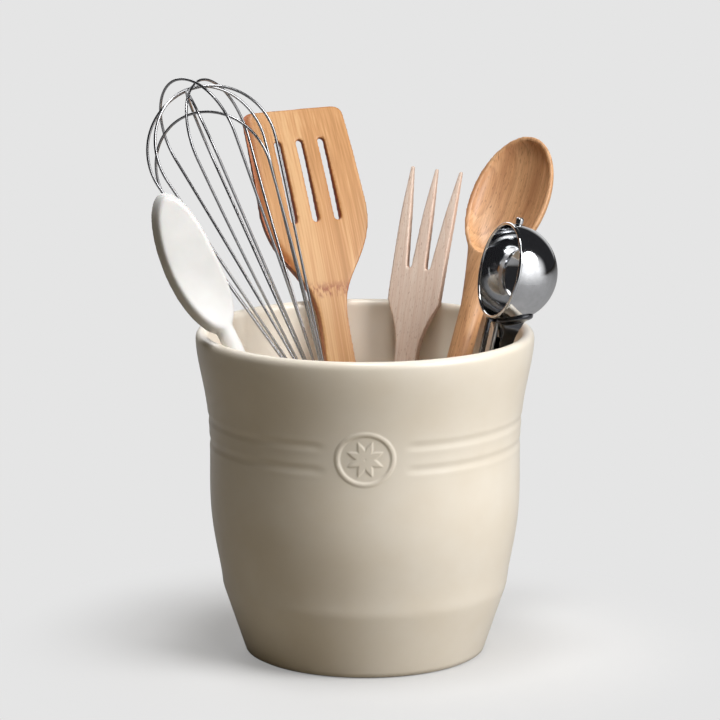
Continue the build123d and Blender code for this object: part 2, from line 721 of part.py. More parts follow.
def disher_parts():
    return {
        "disher_frame": disher_frame(),
        "disher_bowl": disher_bowl(),
        "disher_lever_pin": disher_lever_pin(),
        "disher_lever": disher_lever(),
        "disher_scraper": disher_scraper(),
        "disher_pinion": disher_pinion(),
        "disher_nub": disher_nub(),
    }


def all_parts():
    nodes = {"crock_body": crock_body()}
    half_white = white_handle_width / 2
    half_turner = turner_handle_thickness / 2
    half_fork = fork_thickness / 2
    half_frame = hypot(frame_depth, frame_width) / 2 * frame_corner_share
    # Each entry: solids, foot, bearing, half thickness at the lip, turn and extra room at the lip
    utensils = [
        ({"white_spoon": white_spoon()}, white_foot, white_bearing, half_white, white_turn_angle, 0),
        (whisk_parts(), whisk_foot, whisk_bearing, whisk_handle_radius,
         whisk_turn_angle, whisk_rim_room),
        ({"slotted_turner": slotted_turner()}, turner_foot, turner_bearing, half_turner,
         turner_turn_angle, turner_rim_room),
        ({"serving_fork": serving_fork()}, fork_foot, fork_bearing, half_fork,
         fork_turn_angle, fork_rim_room),
        ({"wooden_spoon": wooden_spoon()}, spoon_foot, spoon_bearing, spoon_handle_radius,
         spoon_turn_angle, 0),
        (disher_parts(), disher_foot, disher_bearing, half_frame, disher_turn_angle, disher_rim_room),
    ]
    places = {}
    for pieces, foot, bearing, half, turn, room in utensils:
        stood, place, axis = stand(pieces, foot, bearing, half, turn, room)
        nodes.update(stood)
        places[next(iter(pieces))] = (place, axis)
    return nodes, places


def write_parts():
    os.makedirs("parts", exist_ok=True)
    nodes, places = all_parts()
    for name, solid in nodes.items():
        export_step(solid, f"parts/{name}.step")
    for name, (place, axis) in places.items():
        print(name, "stands along", [round(value, 4) for value in axis])
    return nodes, places


nodes, places = write_parts()
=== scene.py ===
import json
import math

import bmesh
import bpy
import numpy as np
from mathutils import Matrix, Vector


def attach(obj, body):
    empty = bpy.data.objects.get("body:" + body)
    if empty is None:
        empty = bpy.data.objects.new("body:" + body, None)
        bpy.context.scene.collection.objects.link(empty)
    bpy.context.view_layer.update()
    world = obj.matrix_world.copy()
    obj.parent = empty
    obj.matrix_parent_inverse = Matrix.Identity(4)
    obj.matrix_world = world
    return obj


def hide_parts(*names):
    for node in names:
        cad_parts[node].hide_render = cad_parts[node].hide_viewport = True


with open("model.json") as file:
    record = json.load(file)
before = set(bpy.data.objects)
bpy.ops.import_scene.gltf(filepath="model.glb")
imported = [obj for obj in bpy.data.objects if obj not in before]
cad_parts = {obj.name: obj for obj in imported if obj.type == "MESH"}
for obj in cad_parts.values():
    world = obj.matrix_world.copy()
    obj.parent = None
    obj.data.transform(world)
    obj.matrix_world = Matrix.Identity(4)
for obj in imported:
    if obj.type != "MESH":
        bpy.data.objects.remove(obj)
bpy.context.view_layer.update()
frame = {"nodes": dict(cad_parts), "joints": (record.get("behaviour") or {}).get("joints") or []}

# A glazed stoneware crock with kitchen utensils. Blender works in metres, the dictionaries are in
# millimetres. Every utensil is finished in its own coordinates: X across, Y from front to back and
# Z along the handle.


def mm(value):
    return value / 1000


def linear(hexColour):
    # an sRGB hex colour as the linear numbers that a shader wants
    parts = [int(hexColour[i:i + 2], 16) / 255 for i in (1, 3, 5)]
    return [p / 12.92 if p <= 0.04045 else ((p + 0.055) / 1.055) ** 2.4 for p in parts] + [1.0]


def addNode(tree, kind, inputs=None, stops=(), **settings):
    # settings are the node's properties, inputs its sockets: each a value, a node or one's output
    node = tree.nodes.new("ShaderNode" + kind)
    for name, value in settings.items():
        setattr(node, name, value)
    for name, value in (inputs or {}).items():
        if isinstance(value, bpy.types.Node):
            value = value.outputs[0]
        if isinstance(value, bpy.types.NodeSocket):
            tree.links.new(value, node.inputs[name])
        else:
            node.inputs[name].default_value = value
    for i, (position, colour) in enumerate(stops):
        points = node.color_ramp.elements
        point = points[i] if i < 2 else points.new(position)
        point.position, point.color = position, colour
    return node


def newMaterial(name):
    material = bpy.data.materials.new(name)
    material.use_nodes = True
    material.node_tree.nodes.clear()
    return material, material.node_tree


def newObject(name, data):
    thing = bpy.data.objects.new(name, data)
    bpy.context.scene.collection.objects.link(thing)
    return thing


def newSheet(name, corners, material):
    mesh = bpy.data.meshes.new(name)
    mesh.from_pydata(corners, [], [(0, 1, 2, 3)])
    mesh.materials.append(material)
    return newObject(name, mesh)


# Camera, floor and light

view = {
    "place": (-2.4, -1905.0, 536.5),
    "pitchDown": 0.203,            # radians below the horizon
    "lens": 199.35,
    "sensor": 36.0,
    "near": 50.0,
    "far": 60000.0,
}
lamps = {
    # degrees to the right of the camera's side and above the table, then power in watts
    "key": {"bearing": 60.5, "height": 30.0, "distance": 2000.0, "size": 1300.0, "power": 39.0},
    "front": {"bearing": 20.0, "height": 65.0, "distance": 1900.0, "size": 800.0, "power": 5.0},
    "top": {"bearing": 0.0, "height": 84.0, "distance": 1900.0, "size": 500.0, "power": 13.5},
    # a weak one that opens the shade behind the crock
    "back": {"bearing": 200.0, "height": 35.0, "distance": 1900.0, "size": 1200.0, "power": 7.0},
}
studio = {
    "lampAim": 110.0,              # height of the point on the crock's axis that all lamps face
    "ambient": 0.04,
    "ambientTone": "#F6DFB4",
    "backdrop": "#E5E5E5",
    "dark": "#303032",             # the unlit studio that polished metal mirrors
    "windowStart": 0.8,            # the backdrop in that mirror image starts at this cosine of
    "windowEnd": 0.97,             # the angle off its middle, and is full at this one
    "floorSeen": "#E3E3E3",        # the floor for the camera, lit up to the backdrop's tone
    "floorLit": "#857C6C",         # the floor for the light that it throws back at the crock
    "floorMirrored": "#A6A6A7",    # the floor in polished metal
    "floorHalf": 6000.0,
    "floorDrop": 0.2,
    "fadeStart": 80.0,             # from here the lit floor turns into the plain backdrop
    "fadeEnd": 190.0,
    "fadeNear": 0.35,              # share of plain backdrop at the crock, to soften the shadow
    # the card glows and is seen only in reflections: a painted highlight in polished metal
    "cardBearing": 58.0,           # a tall pale card that only polished metal mirrors
    "cardDistance": 560.0,
    "cardWidth": 900.0,
    "cardRise": 760.0,
    "cardStrength": 1.7,
    "cardMiddle": 0.4,             # share of its height up to which it is widest
    "cardFoot": 0.7,               # its strength where it meets the floor
    "cardRim": 0.5,                # clear from here outwards, as a share of its size
    "cardCore": 0.12,              # solid within this
}


def makeCamera():
    data = bpy.data.cameras.new("camera")
    data.lens, data.sensor_width = view["lens"], view["sensor"]
    data.clip_start, data.clip_end = mm(view["near"]), mm(view["far"])
    camera = newObject("camera", data)
    camera.location = [mm(v) for v in view["place"]]
    camera.rotation_euler = (math.pi / 2 - view["pitchDown"], 0, 0)
    bpy.context.scene.camera = camera


def makeLamp(name, bearing, height, distance, size, power):
    bearing, height = math.radians(bearing), math.radians(height)
    data = bpy.data.lights.new(name, "AREA")
    data.shape, data.size, data.energy = "DISK", mm(size), power
    lamp = newObject(name, data)
    flat, middle = mm(distance) * math.cos(height), mm(studio["lampAim"])
    lamp.location = (flat * math.sin(bearing), -flat * math.cos(bearing),
                     middle + mm(distance) * math.sin(height))
    aim = Vector((0, 0, middle)) - lamp.location
    lamp.rotation_euler = aim.to_track_quat("-Z", "Y").to_euler()


def makeWorld():
    # the plain backdrop for the camera, a faint warm light for every surface, and for polished
    # metal a dark studio with the backdrop as its window
    s = studio
    world = bpy.data.worlds.new("studio")
    world.use_nodes = True
    bpy.context.scene.world = world
    tree = world.node_tree
    tree.nodes.clear()
    path = addNode(tree, "LightPath").outputs
    straight = addNode(tree, "Math", {0: path["Is Camera Ray"], 1: path["Is Transmission Ray"]},
                       operation="MAXIMUM")
    direction = addNode(tree, "TexCoord").outputs["Generated"]
    toward = addNode(tree, "SeparateXYZ", {0: direction}).outputs["Y"]
    window = addNode(tree, "MapRange", {"Value": toward, 1: s["windowStart"], 2: s["windowEnd"]},
                     interpolation_type="SMOOTHSTEP")
    mirrored = addNode(tree, "Mix", {0: window, 6: linear(s["dark"]), 7: linear(s["backdrop"])},
                       data_type="RGBA").outputs[2]
    soft = addNode(tree, "Background", {"Color": linear(s["ambientTone"]),
                                        "Strength": s["ambient"]})
    seen = addNode(tree, "Background", {"Color": linear(s["backdrop"])})
    mirror = addNode(tree, "Background", {"Color": mirrored})
    inner = addNode(tree, "MixShader", {0: path["Is Glossy Ray"], 1: soft, 2: mirror})
    outer = addNode(tree, "MixShader", {0: straight, 1: inner, 2: seen})
    addNode(tree, "OutputWorld", {"Surface": outer})


def makeFloor():
    # Matt painted board: pale and even, it takes the shadow and melts into the backdrop.
    s = studio
    material, tree = newMaterial("matt pale floor")
    path = addNode(tree, "LightPath").outputs
    tone = addNode(tree, "Mix", {0: path["Is Diffuse Ray"], 6: linear(s["floorMirrored"]),
                                 7: linear(s["floorLit"])}, data_type="RGBA").outputs[2]
    tone = addNode(tree, "Mix", {0: path["Is Camera Ray"], 6: tone, 7: linear(s["floorSeen"])},
                   data_type="RGBA").outputs[2]
    board = addNode(tree, "BsdfPrincipled", {"Base Color": tone, "Roughness": 0.9,
                                             "Specular IOR Level": 0.1})
    straight = addNode(tree, "Math", {0: path["Is Camera Ray"], 1: path["Is Transmission Ray"]},
                       operation="MAXIMUM")
    place = addNode(tree, "NewGeometry").outputs["Position"]
    reach = addNode(tree, "VectorMath", {0: place}, operation="LENGTH").outputs["Value"]
    fade = addNode(tree, "MapRange", {"Value": reach, 1: mm(s["fadeStart"]), 2: mm(s["fadeEnd"]),
                                      3: s["fadeNear"], 4: 1.0}, interpolation_type="SMOOTHSTEP")
    share = addNode(tree, "Math", {0: fade, 1: straight}, operation="MULTIPLY")
    plain = addNode(tree, "Emission", {"Color": linear(s["backdrop"])})
    mixed = addNode(tree, "MixShader", {0: share, 1: board, 2: plain})
    addNode(tree, "OutputMaterial", {"Surface": mixed})
    half = mm(s["floorHalf"])
    corners = [(-half, -half, 0), (half, -half, 0), (half, half, 0), (-half, half, 0)]
    floor = newSheet("floor", corners, material)
    floor.location.z = -mm(s["floorDrop"])


def makeCard():
    # Glowing white card, no lamp, that paints a soft highlight into polished metal: brightest in
    # its middle and clear at its rim, so that its image in polished metal has soft edges.
    s = studio
    material, tree = newMaterial("glowing reflection card")
    place = addNode(tree, "TexCoord").outputs["Generated"]
    off = addNode(tree, "VectorMath", {0: place, 1: (0.5, 0.5, s["cardMiddle"])},
                  operation="SUBTRACT")
    above = addNode(tree, "VectorMath", {0: off, 1: (-1, -1, 0)}, operation="MAXIMUM")
    away = addNode(tree, "VectorMath", {0: above}, operation="LENGTH").outputs["Value"]
    solid = addNode(tree, "MapRange", {"Value": away, 1: s["cardRim"], 2: s["cardCore"]},
                    interpolation_type="SMOOTHSTEP")
    height = addNode(tree, "SeparateXYZ", {0: place}).outputs["Z"]
    glow = addNode(tree, "MapRange", {"Value": height, 1: 0.0, 2: s["cardMiddle"],
                                      3: s["cardFoot"], 4: s["cardStrength"]},
                   interpolation_type="SMOOTHSTEP")
    light = addNode(tree, "Emission", {"Strength": glow})
    clear = addNode(tree, "BsdfTransparent")
    mixed = addNode(tree, "MixShader", {0: solid, 1: clear, 2: light})
    addNode(tree, "OutputMaterial", {"Surface": mixed})
    half, rise = mm(s["cardWidth"] / 2), mm(s["cardRise"])
    corners = [(-half, 0, 0), (half, 0, 0), (half, 0, rise), (-half, 0, rise)]
    card = newSheet("card", corners, material)
    bearing, reach = math.radians(s["cardBearing"]), mm(s["cardDistance"])
    card.location = (reach * math.sin(bearing), -reach * math.cos(bearing), 0)
    card.rotation_euler = (0, 0, bearing)
    card.visible_camera = card.visible_diffuse = False
    card.visible_shadow = card.visible_transmission = False


bpy.context.scene.view_settings.view_transform = "Standard"
makeCamera()
makeWorld()
makeFloor()
makeCard()
for lampName, values in lamps.items():
    makeLamp(lampName, **values)
print("camera, floor and lamps are set")


# Working on meshes

def readVectors(items, name):
    values = np.zeros(len(items) * 3)
    items.foreach_get(name, values)
    return values.reshape(-1, 3)


def verticesOf(node):
    return readVectors(frame["nodes"][node].data.vertices, "co")


def shadeSmooth(mesh):
    for face in mesh.polygons:
        face.use_smooth = True


def evaluatedMesh(thing):
    # its mesh with the modifiers or the curve's thickness applied
    graph = bpy.context.evaluated_depsgraph_get()
    mesh = bpy.data.meshes.new_from_object(thing.evaluated_get(graph))
    shadeSmooth(mesh)
    return mesh


def smoothStep(value, low, high):
    share = np.clip((np.asarray(value, float) - low) / (high - low), 0, 1)
    return share * share * (3 - 2 * share)


def softened(name, node, voxel, passes):
    # a copy of a solid with its edges rounded, as sanding or a mould leaves them
    mesh = frame["nodes"][node].data.copy()
    mesh.materials.clear()
    work = bmesh.new()
    work.from_mesh(mesh)
    bmesh.ops.remove_doubles(work, verts=work.verts, dist=mm(0.002))
    work.to_mesh(mesh)
    work.free()
    piece = newObject(name, mesh)
    remesh = piece.modifiers.new("remesh", "REMESH")
    remesh.mode, remesh.voxel_size = "VOXEL", mm(voxel)
    smooth = piece.modifiers.new("smooth", "SMOOTH")
    smooth.iterations = passes
    rounded = evaluatedMesh(piece)
    piece.modifiers.clear()
    piece.data = rounded
    return piece


def finishPiece(piece, material, body, slot, *nodes):
    piece.data.materials.clear()
    piece.data.materials.append(material)
    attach(piece, body)
    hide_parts(*nodes)


# A utensil's own coordinates, read from its solids and the joint by which it lifts out

def placeFrom(across, behind, up, origin):
    # the 4x4 matrix that turns the utensil's own coordinates into the scene's, in metres
    place = Matrix.Identity(4)
    for i, column in enumerate((across, behind, up, origin)):
        for row in range(3):
            place[row][i] = column[row]
    return place


def liftAxis(joint):
    found = next(j for j in frame["joints"] if j["name"] == joint)
    return np.array(found["axis"]) / np.linalg.norm(found["axis"])


def utensilPlace(joint, handleNode, broadNode=None, gripLength=60.0, broadLength=75.0):
    # the handle gives the axis line and the broad end at its top gives the X direction
    up = liftAxis(joint)
    handle = verticesOf(handleNode)
    foot = (handle @ up).min()
    grip = handle[handle @ up < foot + mm(gripLength)]
    broad = verticesOf(broadNode or handleNode)
    top = broad[broad @ up > (broad @ up).max() - mm(broadLength)]
    flat = top - np.outer(top @ up, up)
    flat = flat - (flat.max(0) + flat.min(0)) / 2
    _, _, directions = np.linalg.svd(flat, full_matrices=False)
    across = directions[0] * (1 if directions[0][0] > 0 else -1)
    behind = np.cross(up, across)
    aside, deep = ((grip @ d).min() / 2 + (grip @ d).max() / 2 for d in (across, behind))
    return placeFrom(across, behind, up, across * aside + behind * deep + up * foot)


def ownPoints(piece, place):
    # the piece's vertices in the utensil's own millimetres
    inverse = np.array(place.inverted())
    return (readVectors(piece.data.vertices, "co") @ inverse[:3, :3].T + inverse[:3, 3]) * 1000


def setOwnPoints(piece, place, points):
    forward = np.array(place)
    world = (points / 1000) @ forward[:3, :3].T + forward[:3, 3]
    piece.data.vertices.foreach_set("co", world.ravel())
    piece.data.update()


def keepPlace(piece, place):
    # each vertex remembers where it is on the utensil, in millimetres, for the material's grain
    own = piece.data.attributes.new("place", "FLOAT_VECTOR", "POINT")
    own.data.foreach_set("vector", ownPoints(piece, place).ravel())


def keepEdge(piece, place, turned, passes):
    # 1 where the surface turns away from the utensil's face, spread a little over the face
    fading, ownShare = 0.97, 0.4
    mesh = piece.data
    facing = readVectors(mesh.vertices, "normal") @ np.array(place)[:3, 1]
    edge = smoothStep(1 - np.abs(facing), *turned)
    pairs = np.zeros(len(mesh.edges) * 2, int)
    mesh.edges.foreach_get("vertices", pairs)
    first, second = pairs.reshape(-1, 2).T
    size = len(edge)
    count = np.bincount(first, minlength=size) + np.bincount(second, minlength=size)
    for _ in range(passes):
        total = np.bincount(first, edge[second], size) + np.bincount(second, edge[first], size)
        around = total / np.maximum(count, 1)
        edge = np.maximum(edge * fading, ownShare * edge + (1 - ownShare) * around)
    kept = mesh.attributes.new("edge", "FLOAT", "POINT")
    kept.data.foreach_set("value", edge.astype(np.float32))


# The crock

crock = {
    "height": 159.8,
    "footRadius": 58.6,
    "shoulder": (69.9, 34.0),      # radius and height of each turn in the outline
    "belly": (75.9, 94.0),
    "neck": (78.3, 130.0),
    "lipRadius": 82.5,
    "lipBead": 3.1,
    "outerSlopes": (0.07, 0.0),    # how the radius grows with height, at shoulder and lip
    "innerSlopes": (0.1, 0.0),
    "wall": 5.6,
    "floor": 8.0,
    "cornerBlur": 0.9,             # how far the glaze softens each corner of the outline
    "blurReach": 4.0,
    "outlineStep": 0.1,
    "riseStep": 0.2,
    "lipSteps": 60,
    "grooveHeights": (106.0, 117.6),
    "grooveHalfWidth": 2.3,
    "grooveReach": 1.25,           # where a groove's side ends, in half-widths from its middle
    "grooveDepth": 0.34,
    "grooveEnd": (13.5, 19.0),     # degrees from the front between which the grooves fade in
    "ridgeShare": 0.15,            # the glaze's raised edge along a groove, as a share of its depth
    "ridgePlace": 1.5,             # in half-widths too
    "ridgeWidth": 0.5,
    "medallionRadius": 77.418,     # the crock's own radius there
    "medallionHeight": 112.0,
    "medallionWidth": 29.5,
    "medallionRise": 26.8,
    "ringWidth": 2.3,
    "ringOutside": (-0.25, 0.35),  # the ring's two sides and the edge of the field within it, in
    "ringInside": (0.65, 1.25),    # ring widths inward from the medallion's outline
    "fieldEdge": (0.75, 1.25),
    "ringRelief": 0.38,
    "fieldSink": 0.2,
    "petals": 8,
    "petalReach": 9.4,
    "petalWidth": 3.9,
    "petalTaper": 0.8,             # below 1 the petals are widest nearer the middle
    "petalEdge": (-0.35, 0.6),
    "petalRelief": 0.36,
    "fineStep": 0.4,               # distance between rings of vertices across the relief
    "edgeStep": 0.8,               # at the lip and the foot
    "coarseStep": 2.2,             # and elsewhere
    "fineMargin": 2.5,
    "lipBand": 9.0,
    "footBand": 6.0,
    "outsideBand": 12.0,
    "fineAngle": 21.0,             # degrees to each side of the front with close-set vertices
    "fineAngleStep": 0.3,
    "coarseAngles": 220,
    "glazeDark": "#F5EBDA",
    "glazePale": "#FAF2E4",
    "mottle": 28.0,                # size of the glaze's clouds
    "grit": 2.2,                   # size of the clay's unevenness under it
}


def glazedStoneware():
    # Satin glaze over stoneware: cream, faintly mottled, with a broad soft highlight.
    c = crock
    material, tree = newMaterial("satin cream glaze")
    place = addNode(tree, "TexCoord").outputs["Object"]
    clouds = addNode(tree, "TexNoise", {"Vector": place, "Scale": 1 / mm(c["mottle"]),
                                        "Detail": 3.0})
    tone = addNode(tree, "ValToRGB", {0: clouds}, stops=[
        (0.3, linear(c["glazeDark"])), (0.7, linear(c["glazePale"]))])
    grit = addNode(tree, "TexNoise", {"Vector": place, "Scale": 1 / mm(c["grit"]), "Detail": 2.0})
    bump = addNode(tree, "Bump", {"Height": grit, "Strength": 0.05, "Distance": mm(0.15)})
    glaze = addNode(tree, "BsdfPrincipled", {
        "Base Color": tone, "Normal": bump, "Roughness": 0.34, "IOR": 1.5, "Coat Weight": 0.25,
        "Coat Roughness": 0.18})
    addNode(tree, "OutputMaterial", {"Surface": glaze})
    return material


def curveThrough(points, slopes):
    # the polynomial radius(height) through the points with the given slopes at its two ends
    heights = [h for _, h in points]
    terms = len(points) + 2
    rows = [[h ** n for n in range(terms)] for h in heights]
    for h in (heights[0], heights[-1]):
        rows.append([n * h ** (n - 1) if n else 0 for n in range(terms)])
    factors = np.linalg.solve(np.array(rows, float), [r for r, _ in points] + list(slopes))
    return lambda h: sum(f * h ** n for n, f in enumerate(factors))


def crockOutline():
    # radius and height, from the middle of the foot over the lip to the middle of the floor
    c = crock
    bead, step = c["lipBead"], c["outlineStep"]
    lipHeight, lipCentre = c["height"] - bead, c["lipRadius"] - bead
    turns = [c["shoulder"], c["belly"], c["neck"]]
    outer = curveThrough(turns + [(c["lipRadius"], lipHeight)], c["outerSlopes"])
    inset = [(r - c["wall"], h) for r, h in turns]
    inner = curveThrough(inset + [(lipCentre - bead, lipHeight)], c["innerSlopes"])
    slope = (c["shoulder"][0] - c["footRadius"]) / c["shoulder"][1]
    floorRadius = c["footRadius"] - c["wall"] + slope * c["floor"]
    rise = np.arange(c["shoulder"][1], lipHeight, c["riseStep"])
    points = [(0, 0), (c["footRadius"], 0), c["shoulder"]]
    points += list(zip(outer(rise), rise))
    points += [(lipCentre + bead * math.cos(t), lipHeight + bead * math.sin(t))
               for t in np.linspace(0, math.pi, c["lipSteps"])]
    points += list(zip(inner(rise[::-1]), rise[::-1]))
    points += [(floorRadius, c["floor"]), (0, c["floor"])]
    line = np.array(points, float)
    along = np.concatenate([[0], np.cumsum(np.hypot(*np.diff(line, axis=0).T))])
    even = np.arange(0, along[-1], step)
    line = np.stack([np.interp(even, along, line[:, i]) for i in (0, 1)], 1)
    reach = round(c["blurReach"] / step)
    weight = np.exp(-(np.arange(-reach, reach + 1) * step / c["cornerBlur"]) ** 2 / 2)
    weight = weight / weight.sum()
    padded = np.concatenate([line[:1].repeat(reach, 0), line, line[-1:].repeat(reach, 0)])
    return np.stack([np.convolve(padded[:, i], weight, "valid") for i in (0, 1)], 1)


def crockRelief(angle, height):
    # how far the outside stands out, in millimetres, at angles from the front and at one height
    c = crock
    aside = np.radians(angle) * c["medallionRadius"]
    up = height - c["medallionHeight"]
    relief = np.zeros_like(aside)
    fadeIn = smoothStep(np.abs(angle), *c["grooveEnd"])
    for grooveHeight in c["grooveHeights"]:
        off = abs(height - grooveHeight) / c["grooveHalfWidth"]
        ridge = np.exp(-((off - c["ridgePlace"]) / c["ridgeWidth"]) ** 2)
        groove = 1 - smoothStep(off, 0, c["grooveReach"])
        relief = relief + c["grooveDepth"] * fadeIn * (c["ridgeShare"] * ridge - groove)
    rim = np.hypot(aside / (c["medallionWidth"] / 2), up / (c["medallionRise"] / 2))
    inward = (1 - rim) * c["medallionWidth"] / 2 / c["ringWidth"]
    ring = smoothStep(inward, *c["ringOutside"]) * (1 - smoothStep(inward, *c["ringInside"]))
    field = smoothStep(inward, *c["fieldEdge"])
    relief = relief + c["ringRelief"] * ring - c["fieldSink"] * field
    reach = np.hypot(aside, up)
    around = np.arctan2(up, aside)
    sector = 2 * math.pi / c["petals"]
    within = np.abs((around / sector) % 1 - 0.5) * sector      # 0 on a petal's middle line
    offLine = reach * np.sin(np.minimum(within, math.pi / 2))
    along = np.clip(reach / c["petalReach"], 0, 1) ** c["petalTaper"]
    halfWidth = c["petalWidth"] / 2 * np.sin(along * math.pi)
    petal = smoothStep(halfWidth - offLine, *c["petalEdge"]) * (reach < c["petalReach"])
    return relief + c["petalRelief"] * petal


def crockLevels(outline):
    # the points of the outline that become rings of vertices, closest together on the relief
    c = crock
    levels = [0]
    for i in range(1, len(outline)):
        radius, height = outline[i]
        outside = radius > c["belly"][0] - c["outsideBand"] and i < len(outline) / 2
        away = abs(height - c["medallionHeight"])
        fine = outside and away < c["medallionRise"] / 2 + c["fineMargin"]
        edge = height > c["height"] - c["lipBand"] or height < c["footBand"] and outside
        step = c["fineStep"] if fine else c["edgeStep"] if edge else c["coarseStep"]
        if (i - levels[-1]) * c["outlineStep"] >= step:
            levels.append(i)
    return levels[1:]


def makeCrock():
    c = crock
    outline = crockOutline()
    levels = crockLevels(outline)
    fine = np.arange(-c["fineAngle"], c["fineAngle"], c["fineAngleStep"])
    coarse = np.linspace(c["fineAngle"], 360 - c["fineAngle"], c["coarseAngles"] + 1)
    angles = np.concatenate([fine, coarse])[:-1]
    fromFront = np.where(angles > 180, angles - 360, angles)
    bearings = np.radians(angles - 90)
    count = len(angles)
    vertices = [(0, 0, 0)]
    for level in levels:
        radius, height = outline[level]
        swell = crockRelief(fromFront, height) if level < len(outline) / 2 else 0
        wide = mm(radius + swell) * np.ones(count)
        vertices += list(zip(wide * np.cos(bearings), wide * np.sin(bearings),
                             [mm(height)] * count))
    vertices.append((0, 0, mm(c["floor"])))
    following = [(j + 1) % count for j in range(count)]
    faces = [(0, 1 + following[j], 1 + j) for j in range(count)]
    for i in range(len(levels) - 1):
        low, high = 1 + i * count, 1 + (i + 1) * count
        faces += [(low + j, low + following[j], high + following[j], high + j)
                  for j in range(count)]
    last = 1 + (len(levels) - 1) * count
    faces += [(last + j, last + following[j], len(vertices) - 1) for j in range(count)]
    mesh = bpy.data.meshes.new("crock")
    mesh.from_pydata(vertices, [], faces)
    shadeSmooth(mesh)
    piece = newObject("crock_glazed", mesh)
    finishPiece(piece, glazedStoneware(), "crock", "glazed_stoneware", "crock_body")


makeCrock()
print("the crock is turned and glazed")


# Wood

turner = {
    "voxel": 0.75,                 # size of the mesh's cells before they are smoothed
    "rounding": 7,                 # rounds of smoothing
    "edgeTurned": (0.25, 0.8),     # how far the surface turns from the face as its edge begins
    "edgePasses": 3,               # how far the edge's colour spreads
    "dark": "#B78046",
    "middle": "#CA935B",
    "pale": "#D9AB76",
    "fibre": 0.9,                  # the real fibres are finer and wouldn't show
    "fibreLength": 90.0,
    "strip": 5.5,
    "stripLength": 400.0,
    "nodeTone": "#9C5226",
    "nodeShare": 0.95,
    "nodeHeight": 169.0,
    "nodeBand": 5.5,
    "nodeGrain": (1.1, 3.0),
    "nodeRagged": 9.0,
    # painted shade: the tone and patches that darken the turner's edges and bevel
    "edgeShadeTone": "#A9552A",
    "edgeShadePatch": (3.0, 14.0),
    "bevelStart": 165.0,
    "bevelFade": 25.0,
    "bevelWidth": 6.0,
    "bevelDepth": 1.5,
}
beech = {
    # for both beech utensils, sizes across and along the grain
    "drift": (24.0, 90.0),
    "fibre": (0.5, 16.0),          # coarser than the real fibres, which wouldn't show
    "patch": (9.0, 60.0),
    "fleckWidth": 0.45,
    "fleckShare": 0.55,
}
fork = {
    "voxel": 0.55,
    "rounding": 5,
    "edgeTurned": (0.3, 0.9),
    "edgePasses": 2,
    "heart": (60.0, 45.0, 0.0),    # where the log's heart was
    "taper": 0.02,                 # how quickly the rings close in along the handle
    "wander": 5.0,                 # how far a ring strays from a true circle
    "ring": 3.4,                   # a year's growth
    "pale": "#F8E6D8",
    "middle": "#F2DAC9",
    "dark": "#E4C6B1",
    "patch": "#E8CAB9",
    "patchShare": 0.6,
    "fleck": "#BA9074",
    "fleckLength": 2.2,
    # painted shade on the tines' side faces, which turn away from the light
    "edge": "#B59079",
    "edgeShare": 0.55,
    "tines": 3,
    "tipLength": 28.0,             # of the part of each tine that narrows
    "tipShare": 0.5,               # of its width that a tine keeps at its tip
    "tipEnd": 2.0,
}
woodenSpoon = {
    "voxel": 0.7,
    "rounding": 12,
    "edgeTurned": (0.2, 0.7),
    "edgePasses": 2,
    "heart": (-48.0, 52.0, 120.0),
    "taper": 0.12,
    "wander": 12.0,
    "ring": 4.6,
    "pale": "#EBBB8B",
    "middle": "#DEA878",
    "dark": "#C08A60",
    "patch": "#B47A52",
    "patchShare": 0.7,
    "fleck": "#8E5632",
    "fleckLength": 3.0,
    "edge": "#E2AB72",
    "edgeShare": 0.15,
}


def streaks(tree, place, size, detail=2.0, seed=0.0):
    # noise drawn out along the handle: size is a streak's width and length in millimetres
    across, along = size
    depthShare = 0.2                                  # so that it also runs deep into the wood
    drawn = addNode(tree, "Mapping", {
        "Vector": place, "Scale": (1 / across, depthShare / across, 1 / along),
        "Location": (seed, seed, seed)})
    noise = addNode(tree, "TexNoise", {"Vector": drawn, "Scale": 1.0, "Detail": detail})
    return noise.outputs[0]


